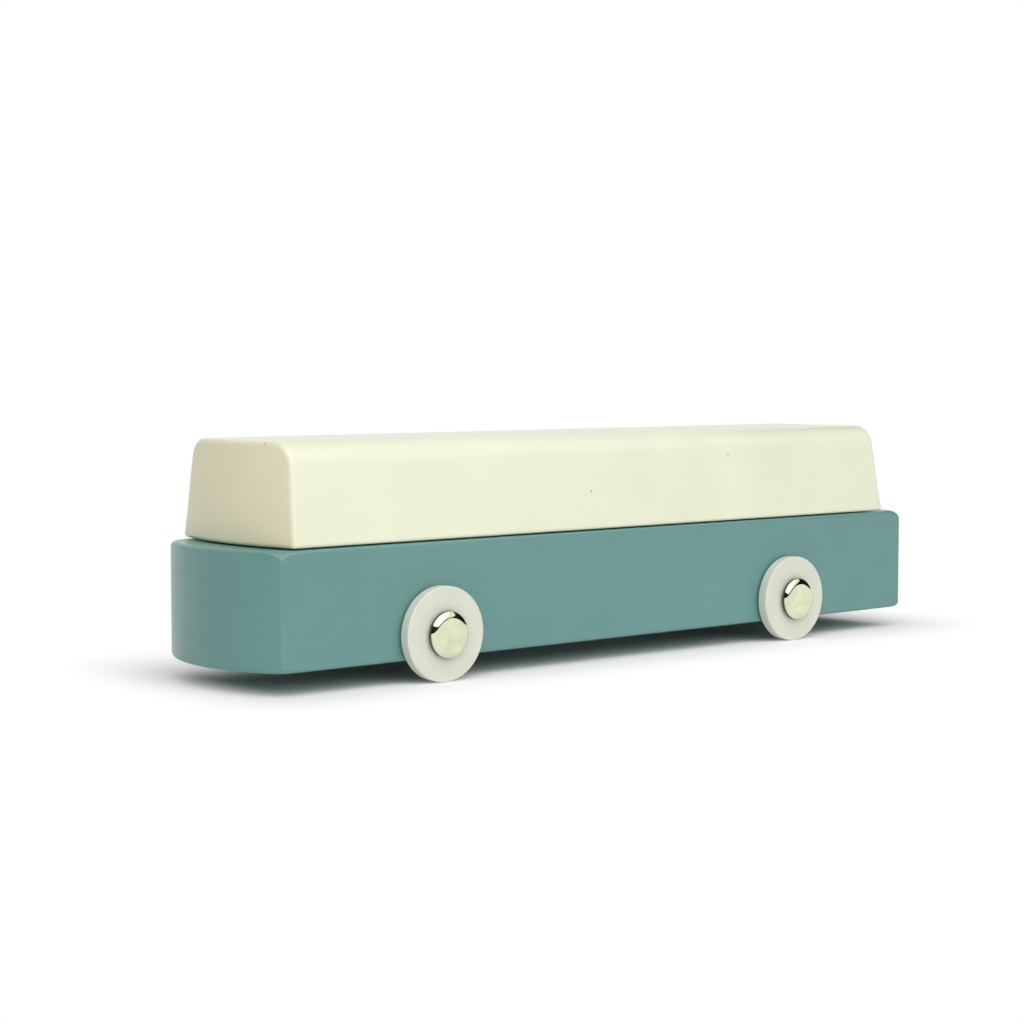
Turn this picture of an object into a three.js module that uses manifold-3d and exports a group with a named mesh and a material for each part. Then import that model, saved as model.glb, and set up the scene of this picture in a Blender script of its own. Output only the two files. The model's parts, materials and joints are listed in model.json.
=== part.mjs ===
// Wooden toy bus: a painted cabin block glued on a painted lower block, with four
// free wheels on two steel axles that are closed by push-on metal caps.
// Millimetres. The front faces -X, the left-hand side is -Y and +Z is up.
// The origin is on the ground, under the middle of the bus.

import * as THREE from 'three';
import { mergeVertices } from 'three/addons/utils/BufferGeometryUtils.js';
import Module from 'manifold-3d';

// Lower block
const BODY_LENGTH = 196; // from the crown of the bowed front to the flat tail
const BODY_WIDTH = 41.6;
const LOWER_HEIGHT = 24.65;
const LOWER_CROWN = 6.2; // how far the bowed front stands out past its corners
const LOWER_EDGE_ROUND = 0.7; // along the top and bottom edges
const GROUND_CLEARANCE = 4.85;

// Cabin block
const CABIN_HEIGHT = 21.3;
const CABIN_SETBACK = 0.2; // foot of the cabin inside each side of the lower block
const CABIN_LEDGE = 6.5; // lower block left bare ahead of the cabin and behind it
const CABIN_CROWN = 2.9;
const CABIN_SIDE_LEAN = THREE.MathUtils.degToRad(7.2);
const CABIN_END_LEAN = THREE.MathUtils.degToRad(4.3);
const CABIN_TOP_ROUND = 5; // along the two long roof edges

// Glued and dowelled joint between the blocks
const GLUE_LINE = 0.3;
const DOWEL_DIAMETER = 8;
const DOWEL_LENGTH = 24;
const DOWEL_CHAMFER = 0.8;
const DOWEL_INSET = 60; // from each end of the cabin's foot to the nearer dowel
const DOWEL_CLEARANCE = 0.3;

// Wheels
const WHEEL_DIAMETER = 20.3;
const WHEEL_THICKNESS = 2.5;
const WHEEL_EDGE_ROUND = 0.3;
const WHEEL_GAP = 0.5; // between a wheel and the side of the lower block
const WHEEL_CLEARANCE = 0.3; // round the axle
const FRONT_OVERHANG = 45.7; // from the crown of the front to the front axle
const WHEELBASE = 107.7;

// Axles
const AXLE_DIAMETER = 4;
const AXLE_CLEARANCE = 0.3; // round the axle in the lower block
const AXLE_CHAMFER = 0.1;
const AXLE_END_GAP = 0.15; // between an axle's end and the inside of its cap

// Push-on caps: a thin shell whose lip is crimped under a toothed spring ring
const CAP_DIAMETER = 10.1;
const CAP_HEIGHT = 1.6;
const CAP_EDGE_WIDTH = 1.8; // of the round edge, seen from the front
const CAP_EDGE_HEIGHT = 1.1; // of the round edge, seen from the side
const CAP_DOME = 0.15; // rise of the face towards its middle
const CAP_WALL = 0.4;
const CAP_LIP = 0.3;
const CAP_GAP = 0.5; // between a cap and its wheel
const RING_THICKNESS = 0.4;
const RING_SEAT_GAP = 0.1; // round the ring inside its cap
const RING_TOOTH_GAP = 0.1; // between the teeth and the axle
const RING_TEETH = 6;
const RING_SLOT = 1; // width of the slots between the teeth
const LIP_REACH = 0.5; // how far the lip holds the ring

// Finishes
const TEAL_PAINT = { color: 0x6d9894, roughness: 0.45, metalness: 0 };
const CREAM_PAINT = { color: 0xededd6, roughness: 0.45, metalness: 0 };
const BEECH = { color: 0xd2ac7c, roughness: 0.7, metalness: 0 };
const WHEEL_PLASTIC = { color: 0xdcdccb, roughness: 0.5, metalness: 0 };
const CAP_NICKEL = { color: 0xd8d6cc, roughness: 0.15, metalness: 1 };
const AXLE_STEEL = { color: 0xa9abad, roughness: 0.35, metalness: 1 };
const SPRING_STEEL = { color: 0x8d9094, roughness: 0.4, metalness: 1 };

// Facets
const FRONT_FACETS = 12;
const EDGE_FACETS = 4;
const WHEEL_FACETS = 48;
const SMALL_ROUND_FACETS = 32;
const CUT_MARGIN = 2; // how far a cutting shape runs past what it cuts

// Places worked out from the sizes above
const frontX = -BODY_LENGTH / 2;
const tailX = BODY_LENGTH / 2;
const axleZ = WHEEL_DIAMETER / 2;
const lowerTopZ = GROUND_CLEARANCE + LOWER_HEIGHT;
const cabinFootZ = lowerTopZ + GLUE_LINE;
const cabinFrontX = frontX + CABIN_LEDGE;
const cabinTailX = tailX - CABIN_LEDGE;
const cabinWidth = BODY_WIDTH - 2 * CABIN_SETBACK;
const wheelInnerY = BODY_WIDTH / 2 + WHEEL_GAP;
const capFootY = wheelInnerY + WHEEL_THICKNESS + CAP_GAP;
const ringFoot = CAP_LIP + RING_SEAT_GAP;
const ringRadius = capCavityRadius(ringFoot + RING_THICKNESS) - RING_SEAT_GAP;
const axleEndY = capFootY + CAP_HEIGHT - CAP_DOME - CAP_WALL - AXLE_END_GAP;
const axleXs = { front: frontX + FRONT_OVERHANG, rear: frontX + FRONT_OVERHANG + WHEELBASE };
const dowelXs = { front: cabinFrontX + DOWEL_INSET, rear: cabinTailX - DOWEL_INSET };

const wasm = await Module();
wasm.setup();

function solidOf(geometry) {
  const bare = geometry.clone();
  bare.deleteAttribute('normal');
  bare.deleteAttribute('uv');
  const merged = mergeVertices(bare);
  const vertProperties = new Float32Array(merged.attributes.position.array);
  const triVerts = new Uint32Array(merged.index.array);
  return new wasm.Manifold(new wasm.Mesh({ numProp: 3, vertProperties, triVerts }));
}

function geometryOf(solid) {
  const mesh = solid.getMesh();
  const geometry = new THREE.BufferGeometry();
  geometry.setAttribute('position', new THREE.BufferAttribute(mesh.vertProperties, 3));
  geometry.setIndex(new THREE.BufferAttribute(mesh.triVerts, 1));
  geometry.computeVertexNormals();
  return geometry;
}

function arcPoints(centreX, centreY, radiusX, radiusY, startAngle, endAngle, facets) {
  const points = [];
  for (let step = 0; step <= facets; step += 1) {
    const angle = startAngle + ((endAngle - startAngle) * step) / facets;
    points.push(new THREE.Vector2(centreX + radiusX * Math.cos(angle), centreY + radiusY * Math.sin(angle)));
  }
  return points;
}

function makeMesh(name, geometry, finish) {
  const mesh = new THREE.Mesh(geometry, new THREE.MeshStandardMaterial(finish));
  mesh.name = name;
  return mesh;
}

// Seen from above: straight sides, a flat tail and a front that bows out to a crown.
// The arc rises by the crown over arcWidth and runs on where the outline is wider than that.
function bowedOutline(crownX, endX, crown, arcWidth, width) {
  const radius = ((arcWidth / 2) ** 2 + crown ** 2) / (2 * crown);
  const halfAngle = Math.asin(width / 2 / radius);
  const outline = new THREE.Shape();
  outline.moveTo(endX, -width / 2);
  outline.lineTo(endX, width / 2);
  outline.absarc(crownX + radius, 0, radius, Math.PI - halfAngle, Math.PI + halfAngle, false);
  outline.closePath();
  return outline;
}

function makeLowerBlock() {
  const outline = bowedOutline(frontX, tailX, LOWER_CROWN, BODY_WIDTH, BODY_WIDTH);
  const block = new THREE.ExtrudeGeometry(outline, {
    depth: LOWER_HEIGHT - 2 * LOWER_EDGE_ROUND,
    bevelThickness: LOWER_EDGE_ROUND,
    bevelSize: LOWER_EDGE_ROUND,
    bevelOffset: -LOWER_EDGE_ROUND,
    bevelSegments: EDGE_FACETS,
    curveSegments: FRONT_FACETS,
  });
  block.translate(0, 0, GROUND_CLEARANCE + LOWER_EDGE_ROUND);
  let solid = solidOf(block);
  const boreRadius = AXLE_DIAMETER / 2 + AXLE_CLEARANCE;
  const boreLength = BODY_WIDTH + 2 * CUT_MARGIN;
  for (const axleX of Object.values(axleXs)) {
    const bore = new THREE.CylinderGeometry(boreRadius, boreRadius, boreLength, SMALL_ROUND_FACETS);
    bore.translate(axleX, 0, axleZ);
    solid = solid.subtract(solidOf(bore));
  }
  for (const dowelX of Object.values(dowelXs)) {
    solid = solid.subtract(solidOf(dowelBore(dowelX)));
  }
  return makeMesh('lower_block', geometryOf(solid), TEAL_PAINT);
}

// Cross-section of the cabin: flat foot, sides that lean in, flat roof with round long edges.
function cabinSection() {
  const halfFoot = cabinWidth / 2;
  const roundZ = CABIN_HEIGHT - CABIN_TOP_ROUND;
  const halfAtRound = halfFoot - roundZ * Math.tan(CABIN_SIDE_LEAN);
  const roundY = halfAtRound - CABIN_TOP_ROUND / Math.cos(CABIN_SIDE_LEAN);
  const section = new THREE.Shape();
  section.moveTo(-halfFoot, 0);
  section.lineTo(halfFoot, 0);
  section.absarc(roundY, roundZ, CABIN_TOP_ROUND, CABIN_SIDE_LEAN, Math.PI / 2, false);
  section.absarc(-roundY, roundZ, CABIN_TOP_ROUND, Math.PI / 2, Math.PI - CABIN_SIDE_LEAN, false);
  section.closePath();
  return section;
}

// Both ends of the cabin lean towards its middle as they rise.
function leanEnds(geometry) {
  const position = geometry.attributes.position;
  for (let index = 0; index < position.count; index += 1) {
    const x = position.getX(index);
    position.setX(index, x - Math.sign(x) * position.getZ(index) * Math.tan(CABIN_END_LEAN));
  }
}

function makeCabinBlock() {
  const loaf = new THREE.ExtrudeGeometry(cabinSection(), {
    depth: BODY_LENGTH,
    bevelEnabled: false,
    curveSegments: EDGE_FACETS,
  });
  const alongY = new THREE.Vector3(0, 1, 0);
  const alongZ = new THREE.Vector3(0, 0, 1);
  const alongX = new THREE.Vector3(1, 0, 0);
  loaf.applyMatrix4(new THREE.Matrix4().makeBasis(alongY, alongZ, alongX));
  loaf.translate(frontX, 0, 0);
  const plan = bowedOutline(cabinFrontX, cabinTailX, CABIN_CROWN, cabinWidth, cabinWidth + 2 * CUT_MARGIN);
  const ends = new THREE.ExtrudeGeometry(plan, {
    depth: CABIN_HEIGHT + 2 * CUT_MARGIN,
    bevelEnabled: false,
    curveSegments: FRONT_FACETS,
  });
  ends.translate(0, 0, -CUT_MARGIN);
  leanEnds(ends);
  loaf.translate(0, 0, cabinFootZ);
  ends.translate(0, 0, cabinFootZ);
  let solid = solidOf(loaf).intersect(solidOf(ends));
  for (const dowelX of Object.values(dowelXs)) {
    solid = solid.subtract(solidOf(dowelBore(dowelX)));
  }
  return makeMesh('cabin_block', geometryOf(solid), CREAM_PAINT);
}

// One long bore stands for the two blind holes that face each other across the glue line.
function dowelBore(dowelX) {
  const radius = DOWEL_DIAMETER / 2 + DOWEL_CLEARANCE;
  const depth = DOWEL_LENGTH + 2 * DOWEL_CLEARANCE;
  const bore = new THREE.CylinderGeometry(radius, radius, depth, SMALL_ROUND_FACETS);
  bore.rotateX(Math.PI / 2);
  bore.translate(dowelX, 0, lowerTopZ + GLUE_LINE / 2);
  return bore;
}

// A straight round bar about Y, with chamfered ends.
function roundBar(diameter, length, chamfer) {
  const radius = diameter / 2;
  const profile = [
    new THREE.Vector2(0, -length / 2),
    new THREE.Vector2(radius - chamfer, -length / 2),
    new THREE.Vector2(radius, -length / 2 + chamfer),
    new THREE.Vector2(radius, length / 2 - chamfer),
    new THREE.Vector2(radius - chamfer, length / 2),
    new THREE.Vector2(0, length / 2),
  ];
  return new THREE.LatheGeometry(profile, SMALL_ROUND_FACETS);
}

function makeDowel(place) {
  const bar = roundBar(DOWEL_DIAMETER, DOWEL_LENGTH, DOWEL_CHAMFER);
  const dowel = makeMesh(`dowel_${place}`, bar, BEECH);
  dowel.rotation.x = Math.PI / 2;
  dowel.position.set(dowelXs[place], 0, lowerTopZ + GLUE_LINE / 2);
  return dowel;
}

// A flat disc about Y with a bore and round rims. Its inner face is at y = 0.
function wheelGeometry() {
  const boreRadius = AXLE_DIAMETER / 2 + WHEEL_CLEARANCE;
  const rimRadius = WHEEL_DIAMETER / 2;
  const turnRadius = rimRadius - WHEEL_EDGE_ROUND;
  const outerTurn = WHEEL_THICKNESS - WHEEL_EDGE_ROUND;
  const round = WHEEL_EDGE_ROUND;
  const profile = [
    new THREE.Vector2(boreRadius, 0),
    ...arcPoints(turnRadius, round, round, round, -Math.PI / 2, 0, EDGE_FACETS / 2),
    ...arcPoints(turnRadius, outerTurn, round, round, 0, Math.PI / 2, EDGE_FACETS / 2),
    new THREE.Vector2(boreRadius, WHEEL_THICKNESS),
    new THREE.Vector2(boreRadius, 0),
  ];
  return new THREE.LatheGeometry(profile, WHEEL_FACETS);
}

// Radius of the hollow in a cap at a height over the cap's foot.
function capCavityRadius(height) {
  const wallRadius = CAP_DIAMETER / 2 - CAP_WALL;
  const turnWidth = CAP_EDGE_WIDTH - CAP_WALL;
  const turnHeight = CAP_EDGE_HEIGHT - CAP_WALL;
  const turnFoot = CAP_HEIGHT - CAP_DOME - CAP_EDGE_HEIGHT;
  const rise = Math.max(0, height - turnFoot) / turnHeight;
  return wallRadius - turnWidth + turnWidth * Math.sqrt(Math.max(0, 1 - rise ** 2));
}

// A thin round shell about Y, open at its foot, with a round edge and a low dome. Its foot is at y = 0.
function capGeometry() {
  const radius = CAP_DIAMETER / 2;
  const turnX = radius - CAP_EDGE_WIDTH;
  const turnY = CAP_HEIGHT - CAP_DOME - CAP_EDGE_HEIGHT;
  const insideWidth = CAP_EDGE_WIDTH - CAP_WALL;
  const insideHeight = CAP_EDGE_HEIGHT - CAP_WALL;
  const lipRadius = ringRadius - LIP_REACH;
  const profile = [
    new THREE.Vector2(0, CAP_HEIGHT - CAP_WALL),
    ...arcPoints(turnX, turnY, insideWidth, insideHeight, Math.PI / 2, 0, EDGE_FACETS),
    new THREE.Vector2(radius - CAP_WALL, CAP_LIP),
    new THREE.Vector2(lipRadius, CAP_LIP),
    new THREE.Vector2(lipRadius, 0),
    new THREE.Vector2(radius, 0),
    ...arcPoints(turnX, turnY, CAP_EDGE_WIDTH, CAP_EDGE_HEIGHT, 0, Math.PI / 2, EDGE_FACETS),
    new THREE.Vector2(0, CAP_HEIGHT),
  ];
  return new THREE.LatheGeometry(profile, SMALL_ROUND_FACETS);
}

// A flat ring about Y whose inner edge is slotted into teeth that grip the axle. Its foot is at y = 0.
function ringGeometry() {
  const tipRadius = AXLE_DIAMETER / 2 + RING_TOOTH_GAP;
  const rootRadius = (tipRadius + ringRadius) / 2;
  const profile = [
    new THREE.Vector2(tipRadius, 0),
    new THREE.Vector2(ringRadius, 0),
    new THREE.Vector2(ringRadius, RING_THICKNESS),
    new THREE.Vector2(tipRadius, RING_THICKNESS),
    new THREE.Vector2(tipRadius, 0),
  ];
  let solid = solidOf(new THREE.LatheGeometry(profile, SMALL_ROUND_FACETS));
  for (let slot = 0; slot < RING_TEETH; slot += 1) {
    const cutter = new THREE.BoxGeometry(rootRadius, RING_THICKNESS + 2 * CUT_MARGIN, RING_SLOT);
    cutter.translate(rootRadius / 2, RING_THICKNESS / 2, 0);
    cutter.rotateY((2 * Math.PI * slot) / RING_TEETH);
    solid = solid.subtract(solidOf(cutter));
  }
  return geometryOf(solid);
}

// The wheel, cap and ring at the right-hand end of an axle, which the left-hand end turns about.
function makeAxleEnd(place, side) {
  const end = new THREE.Group();
  const wheel = makeMesh(`wheel_${place}_${side}`, wheelGeometry(), WHEEL_PLASTIC);
  wheel.position.y = wheelInnerY;
  const cap = makeMesh(`cap_${place}_${side}`, capGeometry(), CAP_NICKEL);
  cap.position.y = capFootY;
  const ring = makeMesh(`grip_ring_${place}_${side}`, ringGeometry(), SPRING_STEEL);
  ring.position.y = capFootY + ringFoot;
  end.add(wheel, cap, ring);
  end.rotation.z = side === 'left' ? Math.PI : 0;
  return end;
}

function makeAxleSet(place) {
  const axleSet = new THREE.Group();
  const bar = roundBar(AXLE_DIAMETER, 2 * axleEndY, AXLE_CHAMFER);
  axleSet.add(makeMesh(`axle_${place}`, bar, AXLE_STEEL));
  axleSet.add(makeAxleEnd(place, 'left'), makeAxleEnd(place, 'right'));
  axleSet.position.set(axleXs[place], 0, axleZ);
  return axleSet;
}

const bus = new THREE.Group();
bus.add(makeLowerBlock(), makeCabinBlock());
for (const place of ['front', 'rear']) {
  bus.add(makeDowel(place), makeAxleSet(place));
}

export default bus;
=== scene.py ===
"""Dresses the wooden toy bus: painted blocks, moulded wheels, plated axle caps and a plain white studio.

The front faces -X, the left-hand side is -Y and +Z is up. Every length here is in metres.
"""

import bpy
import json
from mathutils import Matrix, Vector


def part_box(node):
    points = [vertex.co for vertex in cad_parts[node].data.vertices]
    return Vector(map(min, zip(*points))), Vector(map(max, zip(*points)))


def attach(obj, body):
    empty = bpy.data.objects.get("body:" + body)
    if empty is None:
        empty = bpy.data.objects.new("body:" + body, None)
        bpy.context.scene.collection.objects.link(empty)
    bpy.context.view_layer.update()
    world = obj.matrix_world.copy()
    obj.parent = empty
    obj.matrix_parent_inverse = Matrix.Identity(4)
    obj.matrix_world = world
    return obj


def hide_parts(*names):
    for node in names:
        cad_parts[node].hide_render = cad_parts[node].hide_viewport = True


bl_info = {
    "name": "Wooden Toy Bus",
    "version": (1, 0, 0),
    "blender": (4, 5, 0),
    "location": "View3D > Sidebar > Toy Bus",
    "description": "Builds the painted blocks, wheels and axle caps of a wooden toy bus around its frame",
    "category": "Object",
}

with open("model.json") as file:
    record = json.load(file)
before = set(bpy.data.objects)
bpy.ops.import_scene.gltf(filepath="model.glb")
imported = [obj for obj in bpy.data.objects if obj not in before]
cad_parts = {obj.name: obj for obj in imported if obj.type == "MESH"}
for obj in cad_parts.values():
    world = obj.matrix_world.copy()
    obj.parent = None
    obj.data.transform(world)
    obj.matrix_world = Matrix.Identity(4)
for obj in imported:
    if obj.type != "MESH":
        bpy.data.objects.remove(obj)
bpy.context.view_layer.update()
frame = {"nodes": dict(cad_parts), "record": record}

import json
from math import asin, cos, exp, pi, radians, sin, sqrt, tan

import bmesh
import bpy
from bpy.props import FloatProperty, FloatVectorProperty, PointerProperty
from mathutils import Matrix, Vector

MM = 0.001

# Mesh fineness
WELD = 1e-7
SUPPORT = 0.35 * MM  # a loop this close to each rounding keeps the flat beside it flat
ROUND_STEPS = 8
EASE_STEPS = 5
BOW_STEPS = 24
SIDE_STEPS = 24
TURN_STEPS = 96
SHARP_ANGLE = radians(60)  # no rounding turns this much in one step, and the rim of a hole does
BOW_CROWDING = 1.8  # how much the points on the lower block's ends crowd towards its corners
SIDE_CROWDING = 2.2  # the same along its sides
FACE_SHARES = (0.04, 0.2, 0.4, 0.6, 0.8, 0.93, 0.98)  # rings on a cabin end, from its middle out to its edge

# Nearly all of a noise pattern lies between these two values
NOISE_LOW = 0.3
NOISE_HIGH = 0.7

# Where the floor starts to clear to white, in from the lower block's outline, and how far on it is all white.
# Near is the front and the left-hand side, far is the tail and the right-hand side.
NEAR_INSET = Vector((13 * MM, 6 * MM, 0))
NEAR_REACH = Vector((28 * MM, 28 * MM, 1))
FAR_INSET = Vector((8 * MM, 15 * MM, 0))
FAR_REACH = Vector((38 * MM, 60 * MM, 1))

FLOOR_REACH = 6.0  # how far the floor runs out each way

# The softbox, which faces the middle of the floor
SOFTBOX_WIDTH = 1.7
SOFTBOX_DEPTH = 1.3
SOFTBOX_PLACE = (-0.22, -0.63, 0.72)

# The dark card: its distance, its foot, its sweep about Z, and how high its top is seen from the middle
CARD_REACH = 0.9
CARD_FOOT = 0.06
CARD_START = radians(-190)
CARD_SWEEP = radians(222)
CARD_STEPS = 60
CARD_LEAST = radians(9)
CARD_HUMPS = (  # each hump's middle, half width and height
    (radians(-170), radians(85), radians(25)),
    (0, radians(56), radians(36)),
)
CLIP_START = 10 * MM

body_of = {node: body for body, nodes in frame["record"]["behaviour"]["bodies"].items() for node in nodes}
CORNERS = [f"{place}_{side}" for place in ("front", "rear") for side in ("left", "right")]
AXLES = ("axle_front", "axle_rear")
DOWELS = ("dowel_front", "dowel_rear")


def linear(code):
    """Turns an sRGB hex colour into linear red, green and blue."""
    channels = [int(code[i:i + 2], 16) / 255 for i in (1, 3, 5)]
    return tuple(c / 12.92 if c <= 0.04045 else ((c + 0.055) / 1.055) ** 2.4 for c in channels)


def length(label, words, size_mm):
    """A length that a user may change, given in millimetres and held in metres."""
    return FloatProperty(
        name=label, description=words, default=size_mm * MM, min=0, unit="LENGTH", precision=5)


def colour(label, words, code):
    """A colour that a user may change, given as sRGB hex and held as linear."""
    return FloatVectorProperty(
        name=label, description=words, default=linear(code), min=0, max=1, subtype="COLOR")


class ToyBusShape(bpy.types.PropertyGroup):
    """Sizes that the frame's boxes don't give."""

    lower_crown: length("Lower crown", "How far the lower block's front bows out past its corners", 6.2)
    lower_round: length("Lower rounding", "Rounding along the lower block's top and bottom edges", 0.75)
    lower_ease: length("Lower easing", "Sanded easing of the lower block's upright corners", 0.4)
    top_rub: length("Top rub", "How much more the lower block's four top corners are rubbed round", 1.5)
    foot_rub: length("Foot rub", "How much more the lower block's four bottom corners are rubbed round", 0.6)
    left_reach: length("Left rub reach", "How soon the rubbing fades from the left-hand corners", 1.3)
    right_reach: length("Right rub reach", "How soon the rubbing fades from the right-hand corners", 2.4)
    cabin_crown: length("Cabin crown", "How far the cabin's front bows out past its corners", 2.9)
    roof_round: length("Roof rounding", "Rounding along the two long roof edges", 5.0)
    cabin_ease: length("Cabin easing", "Sanded easing of the edges of the cabin's ends", 1.2)
    foot_ease: length("Foot easing", "Sanded easing along the cabin's foot", 0.75)
    foot_blend: length("Foot blend", "Height over which one cabin easing turns into the other", 4.0)
    side_lean: FloatProperty(name="Side lean", description="How far each side of the cabin leans in",
                             default=radians(7.2), subtype="ANGLE")
    end_lean: FloatProperty(name="End lean", description="How far each end of the cabin leans in",
                            default=radians(4.3), subtype="ANGLE")
    wheel_round: length("Wheel rounding", "Rounding of both rims of a wheel", 0.25)
    hole_room: length("Hole room", "Room round an axle or a dowel in its hole", 0.3)
    cap_edge_width: length("Cap edge width", "Width of a cap's round edge, seen from the front", 1.8)
    cap_edge_height: length("Cap edge height", "Height of a cap's round edge, seen from the side", 1.1)
    cap_dome: length("Cap dome", "Rise of a cap's face towards its middle", 0.15)
    cap_wall: length("Cap wall", "Thickness of an axle cap's shell", 0.4)
    cap_lip: length("Cap lip", "How far the rolled lip turns in under an axle cap", 0.9)


class ToyBusFinish(bpy.types.PropertyGroup):
    """Colours of the paints, plastic, metals and bare wood."""

    # The end colours go on both ends of a block, picked by which way they face, a little deeper than the
    # sides
    teal: colour("Teal paint", "Paint on the lower block", "#699793")
    teal_ends: colour("Teal end grain", "Paint on the ends of the lower block", "#689792")
    cream: colour("Cream paint", "Paint on the cabin block", "#F0F2D8")
    cream_ends: colour("Cream end grain", "Paint on the ends of the cabin block", "#EFEAC8")
    wheel_white: colour("Wheel plastic", "Off-white plastic of the wheels", "#E1E3D4")
    nickel: colour("Cap plating", "Warm nickel plating of the axle caps", "#E2E6C4")
    steel: colour("Axle steel", "Drawn steel of the axles", "#B4B6B8")
    spring: colour("Spring steel", "Hardened steel of the rings in the caps", "#7C8086")
    beech: colour("Beech", "Bare beech of the dowels", "#D9B88C")


class ToyBusStage(bpy.types.PropertyGroup):
    """Camera and light of the plain white studio."""

    azimuth: FloatProperty(name="Azimuth", description="Camera's turn about Z, where 0 looks along +Y",
                           default=radians(-40.294), subtype="ANGLE")
    elevation: FloatProperty(name="Elevation", description="How far the camera looks down",
                             default=radians(3.898), subtype="ANGLE")
    place: FloatVectorProperty(name="Camera place", description="Where the camera stands",
                               default=(-0.33287, -0.37600, 0.06652), subtype="TRANSLATION")
    focal: FloatProperty(name="Focal length", description="Lens for a frame 36 mm wide", default=75.9,
                         unit="CAMERA")
    key_power: FloatProperty(name="Key power", description="Power of the softbox overhead", default=11.0,
                             unit="POWER")
    fill: FloatProperty(name="Fill", description="Brightness of the white room round the object",
                        default=0.27)


def add_node(tree, kind, inputs=None, **settings):
    """Adds a node, makes its settings, and fills or links its inputs."""
    node = tree.nodes.new(kind)
    for name, value in settings.items():
        setattr(node, name, value)
    for name, value in (inputs or {}).items():
        if isinstance(value, bpy.types.NodeSocket):
            tree.links.new(value, node.inputs[name])
        else:
            node.inputs[name].default_value = value
    return node


def new_material(name):
    """An empty node material with its output node."""
    material = bpy.data.materials.new(name)
    material.use_nodes = True
    material.node_tree.nodes.clear()
    output = add_node(material.node_tree, "ShaderNodeOutputMaterial")
    return material, material.node_tree, output


def per_metre(size_mm):
    """Texture scale that makes one repeat this many millimetres."""
    return 1 / (size_mm * MM)


def seen_or_mirrored(tree):
    """1 where the camera, a mirror or glass looks, and 0 for the light that falls on the object."""
    path = add_node(tree, "ShaderNodeLightPath")
    shown = add_node(tree, "ShaderNodeMath", {
        0: path.outputs["Is Camera Ray"], 1: path.outputs["Is Glossy Ray"]}, operation="MAXIMUM")
    shown = add_node(tree, "ShaderNodeMath", {
        0: shown.outputs[0], 1: path.outputs["Is Transmission Ray"]}, operation="MAXIMUM")
    return shown.outputs[0]


def satin_paint(name, base, end_base, speck_tone):
    """Sprayed satin enamel on sanded beech: even colour with a soft broad sheen, the faint long ridges
    of the grain under it, a fine orange peel, and the odd speck of dust caught in the last coat.
    Both ends of a block, picked by which way they face, take their own colour, a little deeper than the
    sides."""
    material, tree, output = new_material(name)
    surface = add_node(tree, "ShaderNodeTexCoord")
    place = surface.outputs["Object"]
    facing = add_node(tree, "ShaderNodeSeparateXYZ", {0: surface.outputs["Normal"]})
    lengthwise = add_node(tree, "ShaderNodeMath", {0: facing.outputs["X"]}, operation="ABSOLUTE")
    end_facing = add_node(tree, "ShaderNodeMapRange", {
        "Value": lengthwise.outputs[0], "From Min": 0.5, "From Max": 0.8, "To Min": 0, "To Max": 1})
    body = add_node(tree, "ShaderNodeMix", {
        "Factor": end_facing.outputs[0], "A": (*base, 1), "B": (*end_base, 1)}, data_type="RGBA")
    ridge_width = per_metre(1.1)
    ridge_length = per_metre(45)
    grain_place = add_node(tree, "ShaderNodeMapping", {
        "Vector": place, "Scale": (ridge_length, ridge_width, ridge_width)})
    grain = add_node(tree, "ShaderNodeTexNoise", {"Vector": grain_place.outputs[0], "Scale": 1, "Detail": 3})
    cloud = add_node(tree, "ShaderNodeTexNoise", {"Vector": place, "Scale": per_metre(22), "Detail": 2})
    peel = add_node(tree, "ShaderNodeTexNoise", {"Vector": place, "Scale": per_metre(0.9), "Detail": 1})
    dust = add_node(tree, "ShaderNodeTexVoronoi", {"Vector": place, "Scale": per_metre(9)})
    speck = add_node(tree, "ShaderNodeMapRange", {
        "Value": dust.outputs["Distance"], "From Min": 0.026, "From Max": 0.04,
        "To Min": speck_tone, "To Max": 1})
    tone = add_node(tree, "ShaderNodeMapRange", {
        "Value": cloud.outputs["Fac"], "From Min": NOISE_LOW, "From Max": NOISE_HIGH,
        "To Min": 0.975, "To Max": 1.02})
    ridge_tone = add_node(tree, "ShaderNodeMapRange", {
        "Value": grain.outputs["Fac"], "From Min": 0.35, "From Max": 0.65, "To Min": 0.995, "To Max": 1.004})
    shade = add_node(tree, "ShaderNodeMath", {
        0: tone.outputs[0], 1: ridge_tone.outputs[0]}, operation="MULTIPLY")
    shade = add_node(tree, "ShaderNodeMath", {
        0: shade.outputs[0], 1: speck.outputs[0]}, operation="MULTIPLY")
    tinted = add_node(tree, "ShaderNodeVectorMath", {
        0: body.outputs["Result"], "Scale": shade.outputs[0]}, operation="SCALE")
    gloss = add_node(tree, "ShaderNodeMapRange", {
        "Value": cloud.outputs["Fac"], "From Min": NOISE_LOW, "From Max": NOISE_HIGH,
        "To Min": 0.29, "To Max": 0.35})
    ridges = add_node(tree, "ShaderNodeBump", {
        "Height": grain.outputs["Fac"], "Distance": 0.006 * MM, "Strength": 0.5})
    skin = add_node(tree, "ShaderNodeBump", {
        "Height": peel.outputs["Fac"], "Distance": 0.012 * MM, "Strength": 0.5,
        "Normal": ridges.outputs[0]})
    paint = add_node(tree, "ShaderNodeBsdfPrincipled", {
        "Base Color": tinted.outputs[0], "Roughness": gloss.outputs[0], "IOR": 1.5,
        "Normal": skin.outputs[0]})
    tree.links.new(paint.outputs[0], output.inputs["Surface"])
    return material


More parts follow.
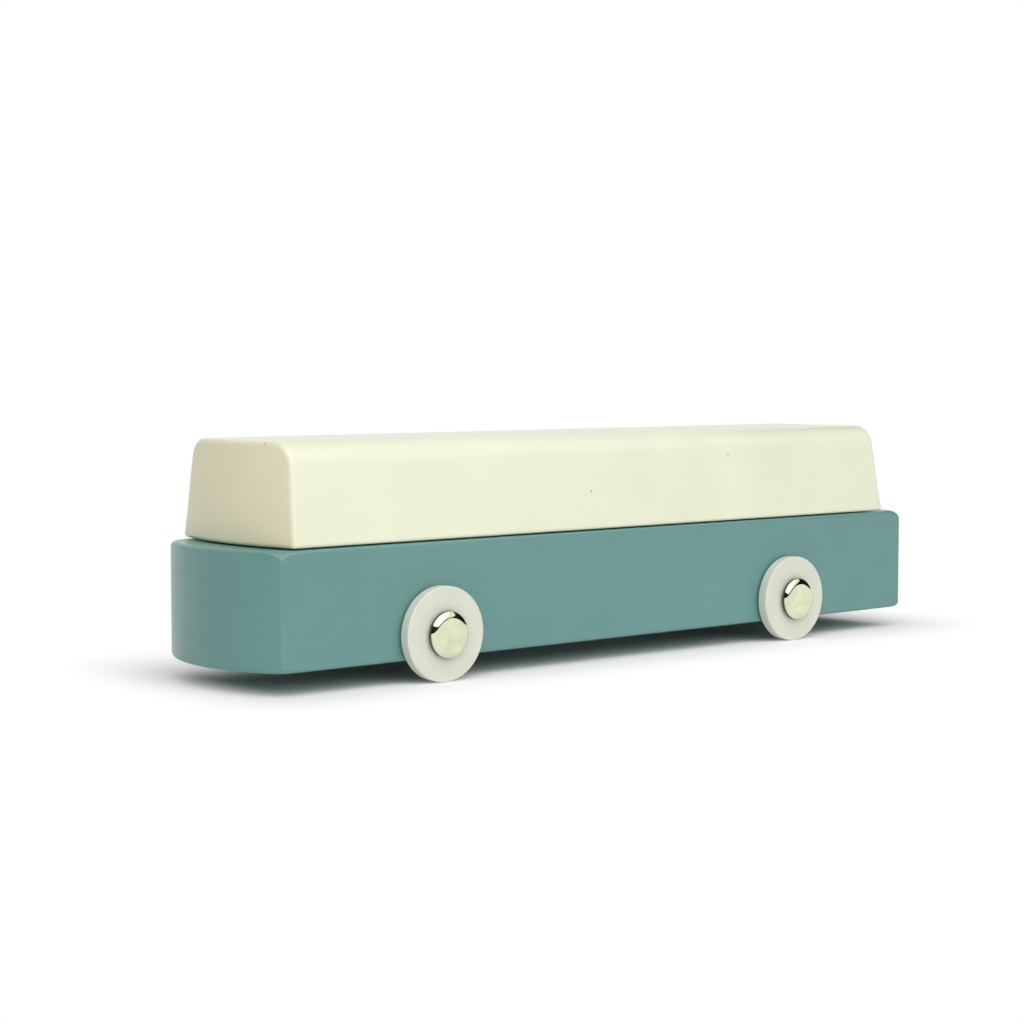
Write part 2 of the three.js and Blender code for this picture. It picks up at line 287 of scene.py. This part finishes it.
def moulded_plastic(name, base):
    """Moulded ABS: one solid off-white with a low sheen and the mould's fine spark-eroded skin,
    which is drawn coarser than it is so that it shows."""
    material, tree, output = new_material(name)
    place = add_node(tree, "ShaderNodeTexCoord").outputs["Object"]
    cloud = add_node(tree, "ShaderNodeTexNoise", {"Vector": place, "Scale": per_metre(6), "Detail": 2})
    skin = add_node(tree, "ShaderNodeTexNoise", {"Vector": place, "Scale": per_metre(0.25), "Detail": 2})
    tone = add_node(tree, "ShaderNodeMapRange", {
        "Value": cloud.outputs["Fac"], "From Min": NOISE_LOW, "From Max": NOISE_HIGH,
        "To Min": 0.97, "To Max": 1.02})
    tinted = add_node(tree, "ShaderNodeVectorMath", {0: base, "Scale": tone.outputs[0]}, operation="SCALE")
    gloss = add_node(tree, "ShaderNodeMapRange", {
        "Value": skin.outputs["Fac"], "From Min": NOISE_LOW, "From Max": NOISE_HIGH,
        "To Min": 0.42, "To Max": 0.52})
    bump = add_node(tree, "ShaderNodeBump", {
        "Height": skin.outputs["Fac"], "Distance": 0.01 * MM, "Strength": 0.4})
    plastic = add_node(tree, "ShaderNodeBsdfPrincipled", {
        "Base Color": tinted.outputs[0], "Roughness": gloss.outputs[0], "IOR": 1.54,
        "Normal": bump.outputs[0], "Subsurface Weight": 0.05,
        "Subsurface Radius": (0.6 * MM, 0.55 * MM, 0.45 * MM), "Subsurface Scale": 1})
    tree.links.new(plastic.outputs[0], output.inputs["Surface"])
    return material


def plated_metal(name, base, smoothness, scratch_mm, scratch_stretch, seam=None):
    """Metal with a bright or drawn skin: clear reflections broken by fine handling marks that run one way.
    A seam, at a distance out from the bus's middle, is darkened with painted shade for the shadowed gap that
    the metal mirrors there, and it clears a little way out."""
    # Painted shade: how far out from the seam it stays dark, and where it has cleared
    painted_shade_end = 0.5 * MM
    painted_shade_clear = 0.9 * MM
    material, tree, output = new_material(name)
    place = add_node(tree, "ShaderNodeTexCoord").outputs["Object"]
    stretched = add_node(tree, "ShaderNodeMapping", {"Vector": place, "Scale": scratch_stretch})
    marks = add_node(tree, "ShaderNodeTexNoise", {
        "Vector": stretched.outputs[0], "Scale": per_metre(scratch_mm), "Detail": 4})
    cloud = add_node(tree, "ShaderNodeTexNoise", {"Vector": place, "Scale": per_metre(2.5), "Detail": 2})
    gloss = add_node(tree, "ShaderNodeMapRange", {
        "Value": marks.outputs["Fac"], "From Min": NOISE_LOW, "From Max": NOISE_HIGH,
        "To Min": smoothness, "To Max": smoothness + 0.06})
    tone = add_node(tree, "ShaderNodeMapRange", {
        "Value": cloud.outputs["Fac"], "From Min": NOISE_LOW, "From Max": NOISE_HIGH,
        "To Min": 0.9, "To Max": 1.04})
    shade = tone.outputs[0]
    if seam:
        # Painted shade: the metal is darkened near the seam, for the shadow in the gap under a cap
        apart = add_node(tree, "ShaderNodeSeparateXYZ", {0: place})
        out = add_node(tree, "ShaderNodeMath", {0: apart.outputs["Y"]}, operation="ABSOLUTE")
        seam_shade = add_node(tree, "ShaderNodeMapRange", {
            "Value": out.outputs[0], "From Min": seam + painted_shade_end, "From Max": seam + painted_shade_clear,
            "To Min": 0.12, "To Max": 1}, interpolation_type="SMOOTHSTEP")
        darkened = add_node(tree, "ShaderNodeMath", {0: shade, 1: seam_shade.outputs[0]}, operation="MULTIPLY")
        shade = darkened.outputs[0]
    tinted = add_node(tree, "ShaderNodeVectorMath", {0: base, "Scale": shade}, operation="SCALE")
    bump = add_node(tree, "ShaderNodeBump", {
        "Height": marks.outputs["Fac"], "Distance": 0.002 * MM, "Strength": 0.3})
    metal = add_node(tree, "ShaderNodeBsdfPrincipled", {
        "Base Color": tinted.outputs[0], "Metallic": 1, "Roughness": gloss.outputs[0],
        "Normal": bump.outputs[0]})
    tree.links.new(metal.outputs[0], output.inputs["Surface"])
    return material


def turned_beech(name, base):
    """Bare turned beech: pale pinkish brown with short dark flecks along the grain, dull."""
    material, tree, output = new_material(name)
    place = add_node(tree, "ShaderNodeTexCoord").outputs["Object"]
    stretch = (per_metre(0.5), per_metre(0.5), per_metre(4))
    fleck_place = add_node(tree, "ShaderNodeMapping", {"Vector": place, "Scale": stretch})
    fleck = add_node(tree, "ShaderNodeTexNoise", {"Vector": fleck_place.outputs[0], "Scale": 1, "Detail": 3})
    tone = add_node(tree, "ShaderNodeMapRange", {
        "Value": fleck.outputs["Fac"], "From Min": 0.35, "From Max": 0.6, "To Min": 0.72, "To Max": 1.03})
    tinted = add_node(tree, "ShaderNodeVectorMath", {0: base, "Scale": tone.outputs[0]}, operation="SCALE")
    bump = add_node(tree, "ShaderNodeBump", {"Height": fleck.outputs["Fac"], "Distance": 0.03 * MM})
    wood = add_node(tree, "ShaderNodeBsdfPrincipled", {
        "Base Color": tinted.outputs[0], "Roughness": 0.65, "IOR": 1.5, "Normal": bump.outputs[0]})
    tree.links.new(wood.outputs[0], output.inputs["Surface"])
    return material


def white_floor(name):
    """Seamless white paper: it keeps the object's shadow and fades to pure white away from it."""
    material, tree, output = new_material(name)
    place = add_node(tree, "ShaderNodeNewGeometry").outputs["Position"]
    low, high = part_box("lower_block")
    near = add_node(tree, "ShaderNodeVectorMath", {0: low + NEAR_INSET, 1: place}, operation="SUBTRACT")
    near = add_node(tree, "ShaderNodeVectorMath", {0: near.outputs[0], 1: NEAR_REACH}, operation="DIVIDE")
    far = add_node(tree, "ShaderNodeVectorMath", {0: place, 1: high - FAR_INSET}, operation="SUBTRACT")
    far = add_node(tree, "ShaderNodeVectorMath", {0: far.outputs[0], 1: FAR_REACH}, operation="DIVIDE")
    outside = add_node(tree, "ShaderNodeVectorMath", {
        0: near.outputs[0], 1: far.outputs[0]}, operation="MAXIMUM")
    outside = add_node(tree, "ShaderNodeVectorMath", {
        0: outside.outputs[0], 1: (0, 0, 0)}, operation="MAXIMUM")
    flat = add_node(tree, "ShaderNodeVectorMath", {0: outside.outputs[0], 1: (1, 1, 0)}, operation="MULTIPLY")
    distance = add_node(tree, "ShaderNodeVectorMath", {0: flat.outputs[0]}, operation="LENGTH")
    away = add_node(tree, "ShaderNodeMapRange", {"Value": distance.outputs["Value"]},
                    interpolation_type="SMOOTHSTEP")
    clear = add_node(tree, "ShaderNodeMath", {
        0: away.outputs[0], 1: seen_or_mirrored(tree)}, operation="MULTIPLY")
    paper = add_node(tree, "ShaderNodeBsdfDiffuse", {"Color": (*linear("#FCFAF9"), 1)})
    white = add_node(tree, "ShaderNodeEmission", {"Color": (1, 1, 1, 1), "Strength": 1})
    mixed = add_node(tree, "ShaderNodeMixShader", {
        0: clear.outputs[0], 1: paper.outputs[0], 2: white.outputs[0]})
    tree.links.new(mixed.outputs[0], output.inputs["Surface"])
    return material


def dark_cloth(name):
    """Black flocked card: it takes a reflection away and gives nothing back."""
    material, tree, output = new_material(name)
    flock = add_node(tree, "ShaderNodeBsdfDiffuse", {"Color": (*linear("#1D1E1D"), 1)})
    tree.links.new(flock.outputs[0], output.inputs["Surface"])
    return material


def new_object(name, mesh, material):
    """Links a mesh into the scene under one name, with its material."""
    mesh.materials.append(material)
    piece = bpy.data.objects.new(name, mesh)
    bpy.context.scene.collection.objects.link(piece)
    return piece


def loft(name, rings, wrap=False, close=True):
    """Skins closed rings of points in order. The ends are closed, or the last ring joins the first."""
    shape = bmesh.new()
    rows = [[shape.verts.new(point) for point in ring] for ring in rings]
    pairs = list(zip(rows, rows[1:]))
    if wrap:
        pairs.append((rows[-1], rows[0]))
    for low, high in pairs:
        for index, corner in enumerate(low):
            follower = (index + 1) % len(low)
            shape.faces.new((corner, low[follower], high[follower], high[index]))
    if close and not wrap:
        shape.faces.new(reversed(rows[0]))
        shape.faces.new(rows[-1])
    bmesh.ops.remove_doubles(shape, verts=shape.verts, dist=WELD)
    bmesh.ops.dissolve_degenerate(shape, dist=WELD, edges=shape.edges)
    bmesh.ops.recalc_face_normals(shape, faces=shape.faces)
    for face in shape.faces:
        face.smooth = True
    mesh = bpy.data.meshes.new(name)
    shape.to_mesh(mesh)
    shape.free()
    return mesh


def drill(mesh, bars, room):
    """Cuts a hole into a closed mesh for each bar, with room all round it.
    A bar lies along the longest side of its box."""
    bits = bmesh.new()
    for bar in bars:
        low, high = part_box(bar)
        size = high - low
        along = max(range(3), key=lambda axis: size[axis])
        radius = min(size) / 2 + room
        turn = Vector((0, 0, 1)).rotation_difference(Matrix.Identity(3)[along]).to_matrix().to_4x4()
        bmesh.ops.create_cone(
            bits, cap_ends=True, segments=TURN_STEPS, radius1=radius, radius2=radius,
            depth=size[along] + 2 * room, matrix=Matrix.Translation((low + high) / 2) @ turn)
    bit_mesh = bpy.data.meshes.new("drill_bits")
    bits.to_mesh(bit_mesh)
    bits.free()
    blank = bpy.data.objects.new("blank", mesh)
    cutter = bpy.data.objects.new("drill_bits", bit_mesh)
    for thing in (blank, cutter):
        bpy.context.scene.collection.objects.link(thing)
    holes = blank.modifiers.new("holes", "BOOLEAN")
    holes.operation = "DIFFERENCE"
    holes.object = cutter
    view = bpy.context.evaluated_depsgraph_get()
    drilled = bpy.data.meshes.new_from_object(blank.evaluated_get(view))
    for thing in (blank, cutter):
        bpy.data.objects.remove(thing)
    drilled.shade_smooth()
    drilled.set_sharp_from_angle(angle=SHARP_ANGLE)
    return drilled


def between(start, end, steps):
    """Points on a straight stretch, without its ends: one by each end and the rest evenly spaced."""
    start, end = Vector(start), Vector(end)
    near = SUPPORT / (end - start).length
    return [start.lerp(end, near + (1 - 2 * near) * step / steps) for step in range(steps + 1)]


def fan(base, reach, start, end, steps, squash=1):
    """Points at one reach from a base, over a sweep of angles. Squash makes the arc lower than it is wide."""
    angles = [start + (end - start) * step / steps for step in range(steps + 1)]
    return [Vector((base[0] + reach * cos(a), base[1] + reach * squash * sin(a))) for a in angles]


def toward(reach, steps, power):
    """Distances from a corner that lie close together near it and reach up to the middle of a stretch."""
    return [reach * (step / steps) ** power for step in range(1, steps + 1)]


def lower_block_mesh(shape):
    """Prism with a bowed front, rounded top and bottom edges, and corners rubbed rounder than the edges."""
    low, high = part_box("lower_block")
    half, ease = high.y, shape.lower_ease
    bow = (half ** 2 + shape.lower_crown ** 2) / (2 * shape.lower_crown)
    centre = low.x + bow

    def half_ring(turn, rub, level, up, beyond, fade):
        """Half a ring, from the tail to the crown.
        At turn 0 it lies on the walls, and at a quarter turn on the flat."""
        def rounding(far):
            return shape.lower_round + rub * exp(-far / fade)

        def inset(far):
            return ease + (rounding(far) - ease) * (1 - cos(turn)) + beyond

        def height(far):
            return level - up * rounding(far) * (1 - sin(turn))

        out = ease * cos(turn)
        side, inner_bow, back = half - inset(0), bow - inset(0), high.x - inset(0)
        corner = centre - sqrt(inner_bow ** 2 - side ** 2)
        sweep = asin(side / inner_bow)
        points = []
        for far in reversed(toward(side, BOW_STEPS, BOW_CROWDING)):
            points.append((high.x - inset(far) + out, side - far, height(far)))
        points += [(x, y, height(0)) for x, y in fan((back, side), out, 0, pi / 2, EASE_STEPS)]
        along = toward((back - corner) / 2, SIDE_STEPS, SIDE_CROWDING)
        points += [(back - far, half - inset(far) + out, height(far)) for far in along]
        points += [(corner + far, half - inset(far) + out, height(far)) for far in reversed(along[:-1])]
        points += [(x, y, height(0)) for x, y in fan((corner, side), out, pi / 2, pi - sweep, EASE_STEPS)]
        for far in toward(sweep * inner_bow, BOW_STEPS, BOW_CROWDING):
            angle = pi - sweep + far / inner_bow
            reach = bow - inset(far) + out
            points.append((centre + reach * cos(angle), reach * sin(angle), height(far)))
        return points

    def ring(*place, beyond=0):
        right = half_ring(*place, beyond, shape.right_reach)
        left = half_ring(*place, beyond, shape.left_reach)
        return right + [(x, -y, z) for x, y, z in reversed(left[1:-1])]

    turns = [pi / 2 * step / ROUND_STEPS for step in range(ROUND_STEPS + 1)]
    foot = [ring(turn, shape.foot_rub, low.z, -1) for turn in turns]
    top = [ring(turn, shape.top_rub, high.z, 1) for turn in turns]
    wall_foot = [(x, y, z + SUPPORT) for x, y, z in foot[0]]
    wall_top = [(x, y, z - SUPPORT) for x, y, z in top[0]]
    flat_foot = ring(pi / 2, shape.foot_rub, low.z, -1, beyond=SUPPORT)
    flat_top = ring(pi / 2, shape.top_rub, high.z, 1, beyond=SUPPORT)
    rings = [flat_foot, *reversed(foot), wall_foot, wall_top, *top, flat_top]
    return loft("lower_block_paint", rings)


def cabin_profile(half_foot, height, shape):
    """Round the cabin's section from the middle of its foot: points, outward normals and end easings."""
    lean, foot, edge, big = shape.side_lean, shape.foot_ease, shape.cabin_ease, shape.roof_round
    corner = (half_foot - (foot + foot * sin(lean)) / cos(lean), foot)
    turn_z = height - big
    turn = (half_foot - (big + turn_z * sin(lean)) / cos(lean), turn_z)
    foot_angles = [-pi / 2 + (pi / 2 + lean) * step / EASE_STEPS for step in range(EASE_STEPS + 1)]
    roof_angles = [lean + (pi / 2 - lean) * step / ROUND_STEPS for step in range(ROUND_STEPS + 1)]
    foot_turn = fan(corner, foot, -pi / 2, lean, EASE_STEPS)
    roof_turn = fan(turn, big, lean, pi / 2, ROUND_STEPS)
    half = [(point, -pi / 2, foot) for point in between((0, 0), foot_turn[0], EASE_STEPS)]
    half += [(point, angle, foot) for point, angle in zip(foot_turn, foot_angles)]
    for point in between(foot_turn[-1], roof_turn[0], SIDE_STEPS):
        share = min(1, (point.y - foot_turn[-1].y) / shape.foot_blend)
        half.append((point, lean, foot + (edge - foot) * share))
    half += [(point, angle, edge) for point, angle in zip(roof_turn, roof_angles)]
    half += [(point, pi / 2, edge) for point in between(roof_turn[-1], (0, height), EASE_STEPS)]
    right = [(point, Vector((cos(angle), sin(angle))), ease) for point, angle, ease in half]
    left = [(Vector((-p.x, p.y)), Vector((-n.x, n.y)), ease) for p, n, ease in reversed(right)]
    return right + left


def cabin_block_mesh(shape):
    """Loaf with leaning sides and ends, a bowed front, rounded roof edges and eased ends and foot."""
    low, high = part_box("cabin_block")
    half_foot, height = high.y, high.z - low.z
    profile = cabin_profile(half_foot, height, shape)
    bow = (half_foot ** 2 + shape.cabin_crown ** 2) / (2 * shape.cabin_crown)
    rise = tan(shape.end_lean)
    middle = Vector((0, height / 2))

    def at_end(point, ease, end):
        """Where an end's easing is centred for a point of the section, and that end's outward normal."""
        if end == "front":
            deep = sqrt(bow ** 2 - point.x ** 2)
            slope = Vector((-1, point.x / deep, rise))
            x = low.x + bow - deep + point.y * rise + ease * slope.length
        else:
            slope = Vector((1, 0, rise))
            x = high.x - point.y * rise - ease * slope.length
        return Vector((x, point.x, low.z + point.y)), slope.normalized()

    def face_ring(end, share):
        ring = []
        for point, outward, ease in profile:
            centre, normal = at_end(middle.lerp(point - ease * outward, share), ease, end)
            ring.append(centre + ease * normal)
        return ring

    def ease_ring(end, share):
        ring = []
        for point, outward, ease in profile:
            centre, normal = at_end(point - ease * outward, ease, end)
            ring.append(centre + ease * Vector((0, outward.x, outward.y)).slerp(normal, share))
        return ring

    turns = [step / EASE_STEPS for step in range(EASE_STEPS + 1)]
    rings = [face_ring("front", share) for share in FACE_SHARES]
    rings += [ease_ring("front", 1 - turn) for turn in turns]
    near, far = ease_ring("front", 0), ease_ring("rear", 0)
    stretches = [between(start, end, SIDE_STEPS) for start, end in zip(near, far)]
    rings += [[stretch[step] for stretch in stretches] for step in range(SIDE_STEPS + 1)]
    rings += [ease_ring("rear", turn) for turn in turns]
    rings += [face_ring("rear", share) for share in reversed(FACE_SHARES)]
    return loft("cabin_block_paint", rings)


def turned_mesh(name, profile, centre, side, wrap):
    """Turns a profile of (radius, height) about Y. Heights run from the centre outwards to one side."""
    angles = [2 * pi * step / TURN_STEPS for step in range(TURN_STEPS)]
    rings = []
    for radius, height in profile:
        y = centre.y + side * height
        rings.append([(centre.x + radius * sin(a), y, centre.z + radius * cos(a)) for a in angles])
    return loft(name, rings, wrap=wrap, close=False)


def wheel_mesh(corner, shape):
    """Thin disc with round rims and a softened bore."""
    low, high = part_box(f"wheel_{corner}")
    axle_low, axle_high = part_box(f"axle_{corner.split('_')[0]}")
    rim, thick, big = (high.z - low.z) / 2, high.y - low.y, shape.wheel_round
    bore = (axle_high.z - axle_low.z) / 2 + shape.hole_room
    soft = big / 3  # the bore is softened less than the rims
    centre = Vector(((low.x + high.x) / 2, low.y, (low.z + high.z) / 2))
    profile = fan((bore + soft, soft), soft, pi, 3 * pi / 2, EASE_STEPS)
    profile += between((bore + soft, 0), (rim - big, 0), EASE_STEPS)
    profile += fan((rim - big, big), big, -pi / 2, 0, ROUND_STEPS)
    profile += between((rim, big), (rim, thick - big), 1)
    profile += fan((rim - big, thick - big), big, 0, pi / 2, ROUND_STEPS)
    profile += between((rim - big, thick), (bore + soft, thick), EASE_STEPS)
    profile += fan((bore + soft, thick - soft), soft, pi / 2, pi, EASE_STEPS)
    return turned_mesh(f"wheel_disc_{corner}", profile, centre, 1, wrap=True)


def cap_mesh(corner, shape):
    """Pressed shell with a rolled foot, a round edge and a low dome, open underneath."""
    low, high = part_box(f"cap_{corner}")
    side = -1 if corner.endswith("left") else 1
    foot = high.y if side < 0 else low.y
    centre = Vector(((low.x + high.x) / 2, foot, (low.z + high.z) / 2))
    radius, tall = (high.z - low.z) / 2, high.y - low.y
    wide, deep, dome, wall = shape.cap_edge_width, shape.cap_edge_height, shape.cap_dome, shape.cap_wall
    turn = (radius - wide, tall - dome - deep)
    roll = wall / 2
    shares = [1 - step / EASE_STEPS for step in range(EASE_STEPS + 1)]
    face = [(turn[0] * share, tall - dome * share ** 2) for share in shares]
    profile = [(r, h - wall) for r, h in reversed(face)]
    profile += fan(turn, wide - wall, pi / 2, 0, ROUND_STEPS, (deep - wall) / (wide - wall))
    profile += fan((radius - wall - shape.cap_lip, roll), roll, pi / 2, 3 * pi / 2, ROUND_STEPS)
    profile += fan((radius - roll, roll), roll, -pi / 2, 0, ROUND_STEPS)
    profile += fan(turn, wide, 0, pi / 2, ROUND_STEPS * 2, deep / wide)
    profile += face
    return turned_mesh(f"axle_cap_{corner}", profile, centre, side, wrap=False)


def stand_for(piece, node):
    """A made piece takes its node's place: it hides the node, moves with its body and has its finish."""
    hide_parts(node)
    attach(piece, body_of[node])


class TOYBUS_OT_lower_block(bpy.types.Operator):
    """Makes the painted lower block"""

    bl_idname = "toybus.lower_block"
    bl_label = "Lower Block"

    def execute(self, context):
        finish = context.scene.toybus_finish
        paint = satin_paint("teal_satin_enamel_on_beech", finish.teal, finish.teal_ends, speck_tone=0.85)
        shape = context.scene.toybus_shape
        mesh = drill(lower_block_mesh(shape), AXLES + DOWELS, shape.hole_room)
        stand_for(new_object("lower_block_paint", mesh, paint), "lower_block")
        return {"FINISHED"}


class TOYBUS_OT_cabin_block(bpy.types.Operator):
    """Makes the painted cabin block"""

    bl_idname = "toybus.cabin_block"
    bl_label = "Cabin Block"

    def execute(self, context):
        finish = context.scene.toybus_finish
        paint = satin_paint("cream_satin_enamel_on_beech", finish.cream, finish.cream_ends, speck_tone=0.6)
        shape = context.scene.toybus_shape
        mesh = drill(cabin_block_mesh(shape), DOWELS, shape.hole_room)
        stand_for(new_object("cabin_block_paint", mesh, paint), "cabin_block")
        return {"FINISHED"}


class TOYBUS_OT_wheels(bpy.types.Operator):
    """Makes the moulded wheels"""

    bl_idname = "toybus.wheels"
    bl_label = "Wheels"

    def execute(self, context):
        plastic = moulded_plastic("off_white_moulded_abs", context.scene.toybus_finish.wheel_white)
        for corner in CORNERS:
            mesh = wheel_mesh(corner, context.scene.toybus_shape)
            stand_for(new_object(f"wheel_disc_{corner}", mesh, plastic), f"wheel_{corner}")
        return {"FINISHED"}


class TOYBUS_OT_axle_caps(bpy.types.Operator):
    """Makes the plated caps on the axle ends"""

    bl_idname = "toybus.axle_caps"
    bl_label = "Axle Caps"

    def execute(self, context):
        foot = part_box("cap_front_right")[0].y
        base = context.scene.toybus_finish.nickel
        # The caps' nickel is darkened by painted shade at its foot, by the wheel
        nickel = plated_metal("polished_nickel_plate", base, smoothness=0.05, scratch_mm=0.4,
                              scratch_stretch=(1, 1, 4), seam=foot)
        for corner in CORNERS:
            mesh = cap_mesh(corner, context.scene.toybus_shape)
            stand_for(new_object(f"axle_cap_{corner}", mesh, nickel), f"cap_{corner}")
        return {"FINISHED"}


class TOYBUS_OT_inner_fittings(bpy.types.Operator):
    """Finishes the axles, the rings in the caps and the dowels, whose shapes stay as they are"""

    bl_idname = "toybus.inner_fittings"
    bl_label = "Inner Fittings"

    def execute(self, context):
        finish = context.scene.toybus_finish
        finishes = {
            "axle": plated_metal("drawn_steel", finish.steel, smoothness=0.3, scratch_mm=0.15,
                                 scratch_stretch=(1, 0.05, 1)),
            "grip": plated_metal("hardened_spring_steel", finish.spring, smoothness=0.35, scratch_mm=0.3,
                                 scratch_stretch=(1, 1, 1)),
            "dowel": turned_beech("turned_beech", finish.beech),
        }
        for name, node in frame["nodes"].items():
            material = finishes.get(name.split("_")[0])
            if material:
                node.data.materials.clear()
                node.data.materials.append(material)
        return {"FINISHED"}


class TOYBUS_OT_stage(bpy.types.Operator):
    """Sets the white floor, the softbox, the dark card, the room's light and the camera"""

    bl_idname = "toybus.stage"
    bl_label = "Stage"

    def execute(self, context):
        scene = context.scene
        stage = scene.toybus_stage
        scene.view_settings.view_transform = "Standard"
        self.set_floor()
        self.set_dark_card()
        self.set_softbox(stage)
        self.set_room(scene, stage)
        self.set_camera(scene, stage)
        return {"FINISHED"}

    def set_floor(self):
        sheet = bmesh.new()
        bmesh.ops.create_grid(sheet, x_segments=4, y_segments=4, size=FLOOR_REACH)
        mesh = bpy.data.meshes.new("floor")
        sheet.to_mesh(mesh)
        sheet.free()
        new_object("floor", mesh, white_floor("seamless_white_paper"))

    def set_dark_card(self):
        """A dark card curved round the left-hand side, seen only in reflections. It has two humps."""
        sheet = bmesh.new()
        rows = [[], []]
        for step in range(CARD_STEPS + 1):
            angle = CARD_START + CARD_SWEEP * step / CARD_STEPS
            rise = CARD_LEAST
            for middle, spread, height in CARD_HUMPS:
                if abs(angle - middle) < spread:
                    rise += height * cos(pi / 2 * (angle - middle) / spread)
            for row, z in zip(rows, (CARD_FOOT, CARD_REACH * tan(rise))):
                row.append(sheet.verts.new((CARD_REACH * cos(angle), CARD_REACH * sin(angle), z)))
        for index in range(CARD_STEPS):
            sheet.faces.new((rows[0][index], rows[0][index + 1], rows[1][index + 1], rows[1][index]))
        mesh = bpy.data.meshes.new("dark_card")
        sheet.to_mesh(mesh)
        sheet.free()
        card = new_object("dark_card", mesh, dark_cloth("black_flocked_card"))
        card.visible_camera = False
        card.visible_diffuse = False
        card.visible_shadow = False

    def set_softbox(self, stage):
        lamp = bpy.data.lights.new("softbox", "AREA")
        lamp.shape = "RECTANGLE"
        lamp.size = SOFTBOX_WIDTH
        lamp.size_y = SOFTBOX_DEPTH
        lamp.energy = stage.key_power
        box = bpy.data.objects.new("softbox", lamp)
        box.location = SOFTBOX_PLACE
        box.rotation_euler = (-box.location).to_track_quat("-Z", "Y").to_euler()
        bpy.context.scene.collection.objects.link(box)

    def set_room(self, scene, stage):
        """A white room: pure white where it is seen or mirrored, and a soft even fill elsewhere."""
        world = bpy.data.worlds.new("white_room")
        world.use_nodes = True
        scene.world = world
        tree = world.node_tree
        tree.nodes.clear()
        level = add_node(tree, "ShaderNodeMapRange", {
            "Value": seen_or_mirrored(tree), "To Min": stage.fill, "To Max": 1})
        room = add_node(tree, "ShaderNodeBackground", {"Color": (1, 1, 1, 1), "Strength": level.outputs[0]})
        output = add_node(tree, "ShaderNodeOutputWorld")
        tree.links.new(room.outputs[0], output.inputs["Surface"])

    def set_camera(self, scene, stage):
        lens = bpy.data.cameras.new("camera")
        lens.lens = stage.focal
        lens.clip_start = CLIP_START
        camera = bpy.data.objects.new("camera", lens)
        camera.location = stage.place
        camera.rotation_euler = (pi / 2 - stage.elevation, 0, stage.azimuth)
        scene.collection.objects.link(camera)
        scene.camera = camera


class TOYBUS_PT_panel(bpy.types.Panel):
    """Lists the bus's pieces, finishes and stage"""

    bl_idname = "TOYBUS_PT_panel"
    bl_label = "Wooden Toy Bus"
    bl_space_type = "VIEW_3D"
    bl_region_type = "UI"
    bl_category = "Toy Bus"

    def draw(self, context):
        for operator in OPERATORS:
            self.layout.operator(operator.bl_idname)
        for group in (context.scene.toybus_shape, context.scene.toybus_finish, context.scene.toybus_stage):
            column = self.layout.column()
            for name in group.__annotations__:
                column.prop(group, name)


OPERATORS = (
    TOYBUS_OT_lower_block,
    TOYBUS_OT_cabin_block,
    TOYBUS_OT_wheels,
    TOYBUS_OT_axle_caps,
    TOYBUS_OT_inner_fittings,
    TOYBUS_OT_stage,
)
GROUPS = {"toybus_shape": ToyBusShape, "toybus_finish": ToyBusFinish, "toybus_stage": ToyBusStage}


def register():
    for kind in (*GROUPS.values(), *OPERATORS, TOYBUS_PT_panel):
        bpy.utils.register_class(kind)
    for name, group in GROUPS.items():
        setattr(bpy.types.Scene, name, PointerProperty(type=group))


def unregister():
    for name in GROUPS:
        delattr(bpy.types.Scene, name)
    for kind in reversed((*GROUPS.values(), *OPERATORS, TOYBUS_PT_panel)):
        bpy.utils.unregister_class(kind)


def main():
    register()
    bpy.ops.toybus.lower_block()
    bpy.ops.toybus.cabin_block()
    bpy.ops.toybus.wheels()
    bpy.ops.toybus.axle_caps()
    bpy.ops.toybus.inner_fittings()
    bpy.ops.toybus.stage()


if __name__ == "__main__":
    main()
